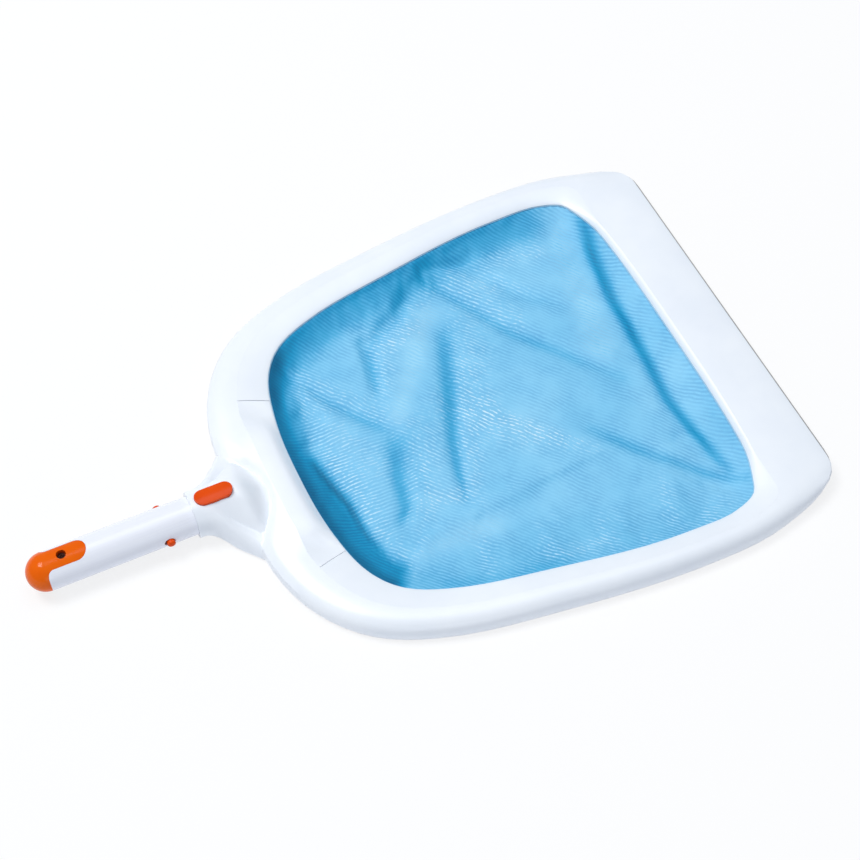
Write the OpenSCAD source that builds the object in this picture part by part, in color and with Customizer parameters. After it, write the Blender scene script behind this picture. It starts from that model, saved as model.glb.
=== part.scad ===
// Leaf skimmer net for a pool: a moulded scoop frame with a shallow mesh pan,
// on a tube with two spring-loaded latch pins that lock into a telescopic pole.
// +X runs from the handle to the scoop lip, +Z is up, and the part lies on z = 0.

/* [Frame] */
// Length of the frame, from the scoop lip to the rear of the ring
head_l = 400; // [380:1:420]
// Width of the frame at its widest
head_w = 366; // [350:1:390]
// Depth of the flat scoop deck, from the lip to the mesh opening
deck_depth = 47.5; // [40:0.5:52]
// Depth of the frame behind the mesh opening
rear_depth = 46.5; // [42:0.5:50]
// Width of the frame beside the mesh opening, at its widest
rail_w = 25; // [22:0.5:28]
// Height of the crest of the side rails
rail_h = 18.5; // [17:0.5:22]
// Height of the rear rim where the neck joins it
rim_h = 21.5; // [20:0.5:24]
// Height of the edge of the mesh opening
net_z = 14; // [13:0.5:15]
// Wall of the frame moulding
wall = 2.4; // [2:0.1:2.8]

/* [Mesh] */
// How far the mesh pan hangs below its edge
sag = 8; // [5:0.5:9.5]
// Thickness of the mesh and of its hem
mesh_t = 0.6; // [0.4:0.1:0.8]

/* [Handle] */
// Outside diameter of the handle tube
shank_d = 28.5; // [27:0.1:29.5]
// Wall of the handle tube
shank_wall = 2.3; // [2:0.1:2.6]
// Length of handle that shows, from the collar to the tip of the end cap
shank_l = 122; // [110:1:150]
// Wall of the collar round the tube
collar_wall = 2.75; // [2.2:0.05:3.5]
// Length of the neck, from the mouth of the collar to the rear of the ring
neck_l = 35; // [34:0.5:40]
// Depth of the tube in the collar
socket_l = 30; // [26:0.5:31]

/* [Latch] */
// Diameter of a latch pin
pin_d = 6; // [5:0.1:6.6]
// How far a latch pin stands out of the tube
pin_out = 3.2; // [2.6:0.1:3.6]
// Distance from the collar to the latch pins
pin_back = 21; // [19:0.5:25]
// Length of the release button
button_l = 28; // [26:0.5:29]
// Width of the release button
button_w = 12.5; // [11:0.5:14]
// How far the button stands above the collar
button_proud = 1.6; // [1:0.1:2.5]
// Travel of the release button
button_travel = 3.2; // [3:0.1:3.6]
// Thickness of a latch arm
arm_t = 3; // [2.6:0.1:3.2]
// Height of a latch arm
arm_h = 8; // [7:0.5:8.5]
// Diameter of the pivot pins of the latch arms
pivot_d = 2.5; // [2:0.1:2.8]

/* [End cap] */
// Length of the end cap's dome
dome_l = 14; // [12:0.5:18]
// Length of the tongue along the top of the tube
tongue_l = 31; // [28:0.5:36]
// Width of the tongue
tongue_w = 16; // [14:0.5:18]
// Depth of the screw recess in the tongue
recess_depth = 5; // [4:0.5:6]
// Diameter of the screw recess in the tongue
recess_d = 7; // [6.4:0.1:7.6]

/* [Hidden] */
$fn = 64;
clear = 0.15;                       // clearance between moulded parts that fit together
gap = 0.3;                          // clearance between parts that move past each other
total_l = shank_l + neck_l + head_l;
lip_x = total_l / 2;
cap_x = -total_l / 2;
ring_x = lip_x - head_l;            // rear of the ring
collar_x = ring_x - neck_l;         // mouth of the collar
mouth_x = lip_x - deck_depth;       // front edge of the mesh opening
net_l = head_l - deck_depth - rear_depth;   // length of the mesh opening
net_w = head_w - 2 * rail_w;        // width of the mesh opening at its widest
shank_r = shank_d / 2;
bore_r = shank_r - shank_wall;      // inside of the tube
socket_r = shank_r + clear;         // inside of the collar
collar_r = socket_r + collar_wall;
axis_z = collar_r;                  // the collar rests on the floor
shank_x0 = cap_x + dome_l;          // rear end of the tube
shank_x1 = collar_x + socket_l;     // front end of the tube, in the neck
pin_x = collar_x - pin_back;
button_x = collar_x + 3.8 + button_l / 2;
crown_z = axis_z + collar_r;        // top of the collar

// Colours
shell_white = [0.93, 0.94, 0.97];
mesh_blue = [0.45, 0.76, 0.93];
hem_blue = [0.3, 0.62, 0.85];
latch_orange = [0.95, 0.38, 0.1];
core_grey = [0.55, 0.56, 0.58];
steel = [0.75, 0.76, 0.78];
black_steel = [0.2, 0.2, 0.2];

// ---------- Outlines of the frame ----------
// Half outlines from the middle of the front to the middle of the rear.
// Each row is: distance back as a share of the length, distance out as a
// share of the half width, and the heading of the curve in degrees.
rim_shape = [
    [0, 0, 90], [0, 0.762, 90], [0.022, 0.888, 145], [0.122, 0.969, 165], [0.262, 1, 180],
    [0.576, 0.941, 188], [0.788, 0.848, 199], [0.93, 0.653, 230], [0.991, 0.39, 256], [1, 0, 270]
];
opening_shape = [
    [0, 0, 90], [0.008, 0.67, 94], [0.045, 0.92, 114], [0.096, 0.984, 162], [0.23, 1, 181],
    [0.597, 0.904, 190], [0.813, 0.807, 200], [0.933, 0.657, 233], [0.987, 0.367, 260], [1, 0, 270]
];
span_steps = [6, 4, 4, 4, 6, 5, 6, 5, 6];   // stations in each span of a half outline

function knots(shape, x0, l, w) = [for (k = shape) [x0 - k[0] * l, k[1] * w / 2, k[2]]];
rim_knots = knots(rim_shape, lip_x, head_l, head_w);
opening_knots = knots(opening_shape, mouth_x, net_l, net_w);

// Bezier span between two knots with headings
function span(a, b, t) =
    let (p = [a[0], a[1]], q = [b[0], b[1]], reach = norm(q - p) * 0.36,
         c = p + reach * [cos(a[2]), sin(a[2])], d = q - reach * [cos(b[2]), sin(b[2])], s = 1 - t)
    s * s * s * p + 3 * s * s * t * c + 3 * s * t * t * d + t * t * t * q;
function at(list, t) = let (i = min(floor(t), len(list) - 2)) span(list[i], list[i + 1], t - i);

// Stations run from 0, the middle of the front, to 9, the middle of the rear,
// and on round the other side from 9 to 18.
last = len(span_steps);
half_stations = [for (i = [0 : last - 1]) for (j = [0 : span_steps[i] - 1]) i + j / span_steps[i]];
stations = concat(half_stations, [last],
                  [for (i = [len(half_stations) - 1 : -1 : 1]) 2 * last - half_stations[i]]);
function lap(t) = (t + 4 * last) % (2 * last);
function folded(t) = let (m = lap(t)) m > last ? 2 * last - m : m;
function sided(t, p) = lap(t) > last ? [p[0], -p[1]] : p;
function rim_at(t) = sided(t, at(rim_knots, folded(t)));
function opening_at(t) = sided(t, at(opening_knots, folded(t)));
bezel_joint = 7.75;                 // station of the joint of the bezels, on each side
joint_gap = 0.004;                  // half the gap at the joint, in stations
// Stations from one joint to another
function run(from, to) = concat(
    [from + joint_gap],
    [for (k = [-2 * last, 0]) for (t = stations) if (t + k > from + 0.02 && t + k < to - 0.02) t + k],
    [to - joint_gap]
);

// ---------- Sections of the frame ----------
// Each point is: share of the rail's width, distance added outward, height.
// Widths run from the mesh opening to the outside of the rail.
seat_t = 2.6;                       // depth of the bezel's seat in the frame
lip_z = net_z + 3.6;                // top of the scoop deck
skirt_z = 5;                        // foot of the inner skirt
hem_z = net_z - 2.4;                // land that the hem lies on
hem_gap = 1.2;                      // height of the space for the hem, under the bezel
shell_rail = [
    [0.5, 0, rail_h - 0.2], [0.64, 0, rail_h], [0.78, 0, rail_h - 0.7], [0.9, 0, rail_h - 2.6],
    [1, -0.8, rail_h - 5.9], [1, 0, 8], [1, -0.4, 3.5], [1, -1.8, 0],
    [1, -1.8 - wall, 0], [1, -0.4 - wall, 3.6], [1, -wall, 8], [1, -0.7 - wall, rail_h - 6.9],
    [0.88, -1.2, rail_h - 2 - wall], [0.76, 0, rail_h - 0.7 - wall], [0.57, 0, rail_h - 0.3 - wall],
    [0.51, 0, rail_h - 4.9], [0, 7.5, hem_z - 1.4], [0, 1 + wall, hem_z - 2], [0, 1 + wall, skirt_z],
    [0, 1.2, skirt_z], [0, 1.2, hem_z], [0, 4.5, hem_z], [0.5, -0.2, rail_h - 0.2 - seat_t]
];
shell_deck = [
    [0, 4.8, lip_z - 0.2], [0.3, 0, lip_z + 0.3], [0.55, 0, lip_z + 0.2], [0.8, 0, lip_z - 0.2],
    [1, -1.2, lip_z - 0.9], [1, 0, lip_z - 1.9], [1, -0.5, lip_z - 2.9], [1, -1.4, lip_z - 3.3],
    [1, -3.5, lip_z - 3.3], [1, -5, lip_z - 3.1], [0.85, 0, lip_z - 2.8], [0.78, 0, lip_z - 2.6],
    [0.68, 0, lip_z - 2.4], [0.55, 0, lip_z - 2.3], [0.3, 0, lip_z - 2.3],
    [0, 7.2, lip_z - 2.5], [0, 6.9, hem_z - 1.8], [0, 1 + wall, hem_z - 2.2], [0, 1 + wall, skirt_z],
    [0, 1.2, skirt_z], [0, 1.2, hem_z], [0, 4.5, hem_z], [0, 4.6, lip_z - seat_t]
];
shell_rim = [
    [0.44, 0, rim_h - 0.2], [0.48, 0, rim_h - 0.7], [0.51, 0, rim_h - 2.6], [0.56, 0, net_z + 0.8],
    [1, -3, net_z - 1.5], [1, 0, 8], [1, -0.4, 3.5], [1, -1.8, 0],
    [1, -1.8 - wall, 0], [1, -0.4 - wall, 3.6], [1, -wall, 8], [1, -4 - wall, net_z - 3.8],
    [0.62, 0, net_z - 2], [0.53, 0, net_z - 1], [0.48, 0, rim_h - 5],
    [0.45, 0, rim_h - 5.4], [0, 7.5, hem_z - 1.4], [0, 1 + wall, hem_z - 2], [0, 1 + wall, skirt_z],
    [0, 1.2, skirt_z], [0, 1.2, hem_z], [0, 4.5, hem_z], [0.44, -0.2, rim_h - 0.2 - seat_t]
];
bezel_rail = [
    [0.5, -0.2, rail_h - 0.2], [0.38, 0, rail_h - 0.8], [0.24, 0, rail_h - 1.9], [0.12, 0, rail_h - 3.2],
    [0, 1.2, net_z + 0.4], [0, 0, net_z - 0.6], [0, 0.3, hem_z + hem_gap + 0.2], [0, 1.2, hem_z + hem_gap],
    [0, 4.2, hem_z + hem_gap], [0.5, -0.4, rail_h - 0.2 - seat_t + clear]
];
bezel_deck = [
    [0, 4.6, lip_z - 0.2], [0, 3.8, lip_z - 0.4], [0, 2.8, lip_z - 0.9], [0, 1.6, lip_z - 1.8],
    [0, 0.6, net_z + 0.7], [0, 0, net_z - 0.5], [0, 0.3, hem_z + hem_gap + 0.2], [0, 1.2, hem_z + hem_gap],
    [0, 4.2, hem_z + hem_gap], [0, 4.4, lip_z - seat_t + clear]
];
bezel_rim = [
    [0.44, -0.2, rim_h - 0.2], [0.33, 0, rim_h], [0.2, 0, rim_h - 0.1], [0, 5.8, rim_h - 1.6],
    [0, 2.4, net_z + 2.4], [0, 0, net_z], [0, 0.3, hem_z + hem_gap + 0.2], [0, 1.2, hem_z + hem_gap],
    [0, 4.2, hem_z + hem_gap], [0.44, -0.4, rim_h - 0.2 - seat_t + clear]
];
hem_band = [
    [0, 4.1, hem_z + gap], [0, 4.1, hem_z + gap + mesh_t], [0, 1.9, hem_z + gap + mesh_t], [0, 1.9, hem_z + gap]
];

function smooth(a, b, x) = let (s = max(0, min(1, (x - a) / (b - a)))) s * s * (3 - 2 * s);
// Share of the deck section, which fades into the rail round the front corner
function deck_share(t) = 1 - smooth(1.2, 3, folded(t));
// Share of the raised rear section, next to the neck: it fades from y0 to y1
function rim_share(t, y0, y1) = folded(t) < 7 ? 0 : 1 - smooth(y0, y1, abs(opening_at(t)[1]));
// Section at a station. The first points, the outside of the rim, fade closer
// to the neck than the plateau inside it.
outer_points = 14;
function section(t, rail, deck, rim) =
    let (d = deck_share(t), foot = rim_share(t, 6, 38), plateau = rim_share(t, 38, 60))
    [for (i = [0 : len(rail) - 1]) let (r = len(rail) > outer_points && i > 0 && i <= outer_points ? foot : plateau)
        rail[i] * (1 - d - r) + deck[i] * d + rim[i] * r];

// A section point carried to its place on the frame
function placed(t, point) =
    let (a = opening_at(t), b = rim_at(t), p = a + (b - a) * (point[0] + point[1] / norm(b - a)))
    [p[0], p[1], point[2]];
function ring(t, rail, deck, rim) =
    let (s = section(t, rail, deck, rim)) [for (i = [len(s) - 1 : -1 : 0]) placed(t, s[i])];
function shell_ring(t) = ring(t, shell_rail, shell_deck, shell_rim);
function bezel_ring(t) = ring(t, bezel_rail, bezel_deck, bezel_rim);

// Faces of a sweep of m rings with n points each, closed on itself or capped
function sweep_faces(m, n, closed) = concat(
    [for (i = [0 : closed ? m - 1 : m - 2]) for (j = [0 : n - 1])
        let (a = i * n + j, b = i * n + (j + 1) % n, c = (i + 1) % m * n + j, d = (i + 1) % m * n + (j + 1) % n)
        each [[a, b, c], [b, d, c]]],
    closed ? [] : [[for (j = [n - 1 : -1 : 0]) j], [for (j = [0 : n - 1]) (m - 1) * n + j]]
);
module sweep(rings, closed = false) {
    m = len(rings);
    n = len(rings[0]);
    polyhedron([for (r = rings) each r], sweep_faces(m, n, closed));
}

// ---------- Fastenings of the bezels ----------
bezel_screw_r = 1.4;
bezel_screw_l = 6.8;
bezel_screw_head_r = 2.8;
bezel_screw_head_h = 1.2;
bezel_boss_r = 3.4;
bezel_boss_drop = 4.4;              // from the bezel's seat down to the foot of a boss
bezel_screw_share = 0.36;           // how far across the rail the screws stand
side_screws = [3.25, 4.5, 5.6, 6.5, 7.4];
rear_screws = [8.4, 9];
function bezel_screw_at(t) =
    let (w = norm(rim_at(t) - opening_at(t)), s = section(t, shell_rail, shell_deck, shell_rim),
         ledge = s[len(s) - 2], seat = s[len(s) - 1],
         rise = (seat[2] - ledge[2]) / (seat[0] * w + seat[1] - ledge[1]))
    placed(t, [bezel_screw_share, 0, ledge[2] + rise * (bezel_screw_share * w - ledge[1]) - bezel_boss_drop]);
screw_stations = [for (t = concat(side_screws, rear_screws)) each t < last ? [t, 2 * last - t] : [t]];
bezel_screws_at = [for (t = screw_stations) bezel_screw_at(t)];
module at_bezel_screws() for (p = bezel_screws_at) translate(p) children();

// ---------- Neck ----------
// The neck grows out of the round collar: its crown falls in a dish to the rear
// rim, and its sides flare out into the ring.
crease_w = 33;                      // half width of the dish where it meets the ring
flare_w = 47;                       // half width of the foot where it meets the ring
foot_z = 4;                         // height of the lower edge of the flared side
dish_z = net_z + 0.6;               // bottom of the dish
crown_end = neck_l - 1;             // where the crown starts to fall
neck_end = neck_l + 0.525 * rear_depth;     // the neck ends inside the rear rim
dish_d = neck_l + 5;                // where the dish is widest
neck_steps = [0, 1.4, 5, 9, 13, 17, 21, 25, 29, 33, 36, 39, 42, 45.5, 49, 52.5];
neck_k = neck_l / 35;               // stretch of the neck's stations
neck_stations = concat([for (d = neck_steps) d * neck_k], [neck_end]);
round_angles = [0, 9, 18, 27, 42, 57, 72, 87, 102, 117, 134, 152, 171];
// The distance d runs forward from the mouth of the collar
function crease_half(d) = d < dish_d
    ? 6.5 + (crease_w - 6.5) * pow(d / dish_d, 1.6)
    : crease_w * (1 - pow((d - dish_d) / (neck_end + 1 - dish_d), 1.5));
function flare_half(d) = collar_r + (flare_w - collar_r) * pow(min(d / neck_l, 1.08), 1.5);
function neck_half(d) =
    let (crown = dish_z + 1 + (crown_z - dish_z - 1) * (1 - smooth(crown_end, neck_end, d)),
         h = dish_z + (crown_z - 1.8 - dish_z) * (1 - smooth(4, dish_d, d)),
         w = crease_half(d), b = flare_half(d), bend = 2 - 0.7 * smooth(20, dish_d + 5, d))
    concat(
        [for (k = [0, 0.4, 0.8, 1]) [w * k, crown - (crown - h) * pow(k, bend)]],
        [for (a = [15 : 15 : 90]) [w + (b - w) * sin(a), foot_z + (h - foot_z) * cos(a)]],
        [[b - 0.4, foot_z / 2], [b - 1.5, 0.4], [b - 5, 0]]
    );
function neck_row(d) =
    let (s = smooth(2, 24, d), f = neck_half(d),
         half = [for (i = [0 : len(round_angles) - 1])
            f[i] * s + [sin(round_angles[i]), 1 + cos(round_angles[i])] * collar_r * (1 - s)])
    [
        for (q = half) [collar_x + d, q[0], q[1]],
        for (i = [len(half) - 1 : -1 : 1]) [collar_x + d, -half[i][0], half[i][1]]
    ];
// Half width of the flat underside
function foot_half(d) = neck_row(d)[11][1];

cover_t = 1.6;                      // the cover lies flush in the foot
cover_rim = 3.5;                    // width of the foot left round the cover
cover_from = 12;                    // where the cover starts and ends, from the collar
cover_to = neck_end - 7.4;
cover_screw_r = 1.3;
cover_screw_l = 7;
cover_screw_head_r = 2.5;
cover_screw_head_h = 1.2;
cover_screws_at = [for (e = [1, -1]) each [[24 * neck_k, e * 22], [46 * neck_k, e * 30]]];
module at_cover_screws() for (p = cover_screws_at) translate([collar_x + p[0], p[1], 0]) children();
module cover_plan(inset) {
    ends = [cover_from + inset - cover_rim, cover_to - inset + cover_rim];
    steps = [for (i = [0 : 8]) ends[0] + (ends[1] - ends[0]) * i / 8];
    edge = [for (d = steps) [collar_x + d, foot_half(d) - inset]];
    polygon(concat(edge, [for (i = [len(edge) - 1 : -1 : 0]) [edge[i][0], -edge[i][1]]]));
}
// Hollows on both sides of the socket, which the cover closes
hollow_top = 9;
hollow_edge = [[18, 19.5], [34, 19.5], [38, 5], [50, 5], [50, 40], [36, 38], [28, 29], [22, 22.5]];
module neck_hollows() difference() {
    for (e = [1, -1])
        linear_extrude(hollow_top) polygon([for (p = hollow_edge) [collar_x + p[0] * neck_k, e * p[1]]]);
    at_cover_screws() cylinder(r = 3.4, h = hollow_top);
}

// ---------- Latch ----------
arm_pin_l = 20;                     // pivot to latch pin
pivot_x = pin_x + arm_pin_l;
pivot_y = 8.3;
cam_x = button_x - 4;               // cam plates of the button
tail_l = cam_x - pivot_x;           // pivot to cam
tail_y = 4;                         // tail of the arm at rest
peg_r = 1.2;
peg_slack = 0.4;
swing = asin((pin_out + 0.25) / arm_pin_l);   // turn of an arm over the button's travel
cam_out = tail_l * tan(swing) - (pivot_y - tail_y) * (1 / cos(swing) - 1);   // way of the peg in its slot
cam_plate_t = 2;
tail_end = cam_x - cam_plate_t / 2 - 1.3;
peg_end = cam_x + cam_plate_t / 2 + 0.8;
button_r = button_w / 2;
flange = 1.7;                       // flange that keeps the button in the collar
flange_top = axis_z + sqrt(pow(socket_r, 2) - pow(button_r + flange, 2)) - gap;
flange_t = 2.2;
spring_x = cam_x + 8;
floor_z = axis_z - arm_h / 2 - gap;  // top of the carrier, under the arms
spring_r = 3.2;                     // mean radius of the coil
spring_wire = 0.8;
spring_turns = 6;
spring_stub_r = 2.4;                // stubs that keep the spring in place
slot_w = button_w + 2 * (flange + gap);   // slot of the tube, over the flange
flange_z = flange_top - flange_t;
button_wall = 1.8;
button_roof = axis_z + collar_r + button_proud - 2.6;   // underside of the button's top
cam_bottom = 14;
cam_half_w = bore_r - 2.55;
cam_shoulder = axis_z + sqrt(pow(bore_r, 2) - pow(cam_half_w, 2)) - 2 * gap;   // clear of the tube's bore
pin_r = pin_d / 2;
pin_tip = shank_r + pin_out - pivot_y;   // length of a latch pin from the middle of its arm
pin_crown = 1.7;                    // height of its domed tip
pivot_r = pivot_d / 2;
pivot_depth = 2.4;
shank_screw_x = collar_x + 7;
shank_screw_r = 1.5;
shank_screw_l = 10;
shank_screw_head_r = 3;
shank_screw_seat = 1.6;             // height of the screw's seat in the collar

module along_x(x0, x1, r) translate([x0, 0, axis_z]) rotate([0, 90, 0]) cylinder(r = r, h = x1 - x0);
// Upright prism with round ends, l by w over all
module oblong(l, w, h) {
    for (e = [1, -1]) translate([e * (l - w) / 2, 0, 0]) cylinder(d = w, h = h);
    translate([(w - l) / 2, -w / 2, 0]) cube([l - w, w, h]);
}

// ---------- End cap ----------
cap_clear = 0.05;                   // the cap lies just below the tube's surface
cap_r = shank_r - cap_clear;
tongue_t = 1.1;
tongue_fillet = 5;
cap_screw_x = cap_x + 27.5;
recess_floor = axis_z + cap_r - recess_depth;
cup_t = 1.1;                        // wall and floor of the cup under the recess
cup_r = recess_d / 2 + 0.8;
plug_x0 = shank_x0 + 6;
plug_x1 = shank_x0 + 24;
cap_screw_r = 1.5;
cap_screw_head_r = 2.9;
cap_screw_head_h = 1.6;
cap_screw_l = 8;
dome_r = (cap_r * cap_r + dome_l * dome_l) / (2 * dome_l);
// Outline of the tongue, seen from above: round tip and flared root
module tongue_plan(extra, h) {
    w = tongue_w + 2 * extra;
    root = shank_x0 - 0.5;
    translate([shank_x0 + tongue_l - tongue_w / 2, 0, 0]) cylinder(d = w, h = h);
    translate([root, -w / 2, 0]) cube([tongue_l - tongue_w / 2 + 0.5, w, h]);
    difference() {
        translate([root, -w / 2 - tongue_fillet, 0]) cube([tongue_fillet + 0.5, w + 2 * tongue_fillet, h]);
        for (e = [1, -1])
            translate([shank_x0 + tongue_fillet, e * (w / 2 + tongue_fillet), -1]) cylinder(r = tongue_fillet, h = h + 2);
    }
}

// ---------- Mesh ----------
net_steps = 8;                      // rings of the mesh from its edge to its middle
net_mid = [mouth_x - 0.46 * net_l, 0];
net_stations = [for (i = [0 : 2 : len(stations) - 1]) stations[i]];
// Each main fold: start and end as shares of the opening's length back and
// half width out, half breadth and height in mm
net_folds = [
    [[0.05, 0.8], [0.09, -0.76], 9, -2.6],
    [[0.09, -0.76], [0.28, -0.5], 8, 2],
    [[0.45, 0.92], [0.24, 0.26], 10, 2.2],
    [[0.45, 0.92], [0.51, 0.05], 11, -1.6],
    [[0.54, 0.21], [0.65, -0.38], 9, 2],
    [[0.91, 0.52], [0.77, 0.22], 8, 1.8],
    [[0.66, 0.64], [0.7, 0.41], 7, -1.4]
];
function net_place(q) = [mouth_x - q[0] * net_l, q[1] * net_w / 2];
function fold_z(p, f) =
    let (a = net_place(f[0]), b = net_place(f[1]), along = max(0, min(1, (p - a) * (b - a) / ((b - a) * (b - a)))),
         away = norm(p - a - along * (b - a)))
    f[3] * exp(-pow(away / f[2], 2)) * sin(180 * (0.12 + 0.76 * along));
function net_point(t, v, top) =
    let (a = opening_at(t), edge = placed(t, [0, 1.7, 0]),
         p = v == 0 ? [edge[0], edge[1]] : a + (net_mid - a) * v,
         drop = sag * (1 - pow(1 - min(v * 2.4, 1), 2)),
         folds = smooth(0, 0.25, v) * [for (f = net_folds) fold_z(p, f)] * [for (f = net_folds) 1])
    [p[0], p[1], hem_z + gap - drop + folds + (top ? mesh_t : 0)];

// White moulding: the ring, the scoop deck and the neck with its collar
module frame_shell() color(shell_white) difference() {
    union() {
        sweep([for (t = stations) shell_ring(t)], closed = true);
        sweep([for (d = neck_stations) neck_row(d)]);
        at_bezel_screws() cylinder(r = bezel_boss_r, h = bezel_boss_drop - 1);
    }
    at_bezel_screws() translate([0, 0, -1]) cylinder(r = bezel_screw_r + clear, h = bezel_screw_l);
    along_x(collar_x - 1, collar_x + crown_end, socket_r);
    translate([button_x, 0, axis_z]) oblong(button_l + 2 * clear, button_w + 2 * clear, collar_r + 1);
    translate([0, 0, -1]) linear_extrude(cover_t + 1) cover_plan(cover_rim);
    neck_hollows();
    at_cover_screws() cylinder(r = cover_screw_r + 0.05, h = cover_screw_l + 0.5);
    translate([shank_screw_x, 0, -1]) cylinder(r = shank_screw_head_r + clear, h = shank_screw_seat + 1);
    translate([shank_screw_x, 0, 0]) cylinder(r = shank_screw_r + clear, h = collar_wall + 1);
}

// Inner ring: the front and side piece, then the rear piece
module bezel(from, to) color(shell_white) difference() {
    sweep([for (t = run(from, to)) bezel_ring(t)]);
    at_bezel_screws() cylinder(r = bezel_screw_r + 0.05, h = bezel_screw_l + 0.1);
}
module side_bezel() bezel(-bezel_joint, bezel_joint);
module rear_bezel() bezel(bezel_joint, 2 * last - bezel_joint);

module bezel_screws() color(steel) at_bezel_screws() {
    cylinder(r = bezel_screw_r, h = bezel_screw_l);
    translate([0, 0, -bezel_screw_head_h]) cylinder(r = bezel_screw_head_r, h = bezel_screw_head_h);
}

// Mesh pan: a thin sheet with its main folds, held at its edge under the bezels
module net() color(mesh_blue) {
    n = len(net_stations);
    m = net_steps;
    points = [
        for (top = [true, false]) for (k = [0 : m - 1]) for (t = net_stations) net_point(t, k / m, top),
        net_point(0, 1, true),
        net_point(0, 1, false)
    ];
    under = m * n;
    middle = 2 * m * n;
    faces = [
        for (k = [0 : m - 2]) for (i = [0 : n - 1])
            let (a = k * n + i, b = k * n + (i + 1) % n, c = a + n, d = b + n)
            each [[a, d, b], [a, c, d], [a + under, b + under, d + under], [a + under, d + under, c + under]],
        for (i = [0 : n - 1])
            let (j = (i + 1) % n, a = (m - 1) * n)
            each [[a + j, a + i, middle], [a + i + under, a + j + under, middle + 1],
                  [i + under, i, j], [i + under, j, j + under]]
    ];
    polyhedron(points, faces);
}
// Binding sewn round the edge of the mesh
module net_hem() color(hem_blue)
    sweep([for (t = net_stations) ring(t, hem_band, hem_band, hem_band)], closed = true);

module neck_cover() color(shell_white) difference() {
    linear_extrude(cover_t) cover_plan(cover_rim + clear);
    at_cover_screws() cylinder(r = cover_screw_r + clear, h = cover_t + 1);
    at_cover_screws() cylinder(r1 = cover_screw_head_r + clear, r2 = cover_screw_r + clear, h = cover_screw_head_h);
}
module cover_screws() color(steel) at_cover_screws() {
    cylinder(r = cover_screw_r, h = cover_screw_l);
    cylinder(r1 = cover_screw_head_r, r2 = cover_screw_r, h = cover_screw_head_h);
}

// Tube: slot for the button, holes for the latch pins, recess for the tongue
module handle_shank() color(shell_white) difference() {
    along_x(shank_x0, shank_x1, shank_r);
    along_x(shank_x0 - 1, shank_x1 + 1, bore_r);
    translate([button_x, 0, axis_z]) oblong(button_l + 2 * (flange + gap), slot_w, shank_r + 1);
    translate([button_x, -slot_w / 2, axis_z]) cube([button_l, slot_w, shank_r + 1]);
    for (dx = [-0.1, -1.1])
        translate([pin_x + dx, 0, axis_z]) rotate([90, 0, 0]) cylinder(r = pin_r + 0.5, h = shank_d + 2, center = true);
    difference() {
        translate([0, 0, axis_z]) tongue_plan(clear, shank_r + 1);
        along_x(shank_x0 - 1, shank_x0 + tongue_l + 1, cap_r - tongue_t - cap_clear);
    }
    translate([cap_screw_x, 0, axis_z]) cylinder(r = cup_r + clear, h = shank_r + 1);
    translate([shank_screw_x, 0, 0]) cylinder(r = shank_screw_r + clear, h = axis_z);
}
module shank_screw() color(steel) translate([shank_screw_x, 0, 0]) {
    translate([0, 0, shank_screw_seat - 1.3]) cylinder(r = shank_screw_head_r, h = 1.3);
    translate([0, 0, shank_screw_seat]) cylinder(r = shank_screw_r, h = shank_screw_l);
}

// Insert in the tube that carries the arms, their pivots and the spring
module latch_carrier() color(core_grey) difference() {
    union() {
        intersection() {
            along_x(pin_x - 8, shank_x1 - 0.5, bore_r - clear);
            translate([pin_x - 10, -bore_r, 0]) cube([shank_x1 - pin_x + 12, 2 * bore_r, floor_z]);
        }
        translate([spring_x, 0, floor_z - 1]) cylinder(r = spring_stub_r, h = 3);
    }
    for (e = [1, -1]) translate([pivot_x, e * pivot_y, floor_z - pivot_depth]) cylinder(r = pivot_r + 0.05, h = pivot_depth + 1);
    translate([cam_x - cam_plate_t / 2 - 0.5, -bore_r, cam_bottom - button_travel - 0.5])
        cube([cam_plate_t + 1, 2 * bore_r, floor_z]);
    translate([shank_screw_x, 0, 0]) cylinder(r = shank_screw_r + 0.05, h = shank_screw_seat + shank_screw_l + 0.2);
}

// Rocking arm, drawn for the left side (+Y): pin, pivot eye, cranked tail and peg
module latch_arm() color(latch_orange) {
    half = arm_t / 2;
    plan = [
        [pin_x - pin_r - 1, pivot_y - half], [pivot_x, pivot_y - half],
        [tail_end - 2, tail_y - half], [tail_end, tail_y - half],
        [tail_end, tail_y + half], [tail_end - 2, tail_y + half],
        [pivot_x, pivot_y + half], [pin_x - pin_r - 1, pivot_y + half]
    ];
    difference() {
        translate([0, 0, axis_z - arm_h / 2]) {
            linear_extrude(arm_h) polygon(plan);
            translate([pivot_x, pivot_y, 0]) cylinder(r = pivot_r + 1.35, h = arm_h);
        }
        translate([pivot_x, pivot_y, 0]) cylinder(r = pivot_r + clear, h = axis_z + arm_h);
    }
    translate([pin_x, pivot_y, axis_z]) rotate([-90, 0, 0]) rotate_extrude()
        polygon([[0, 0], [pin_r, 0], for (a = [0 : 15 : 90]) [pin_r * cos(a), pin_tip - pin_crown * (1 - sin(a))]]);
    translate([tail_end - 1, tail_y, axis_z]) rotate([0, 90, 0]) cylinder(r = peg_r, h = peg_end - tail_end + 1);
}
module latch_arm_left() latch_arm();
module latch_arm_right() mirror([0, 1, 0]) latch_arm();

module arm_pivots() color(steel) for (e = [1, -1]) translate([pivot_x, e * pivot_y, 0]) {
    translate([0, 0, floor_z - pivot_depth + 0.1]) cylinder(r = pivot_r, h = pivot_depth + arm_h + 0.6);
    translate([0, 0, axis_z + arm_h / 2 + gap]) cylinder(r = pivot_r + 0.7, h = 0.8);
}

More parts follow.
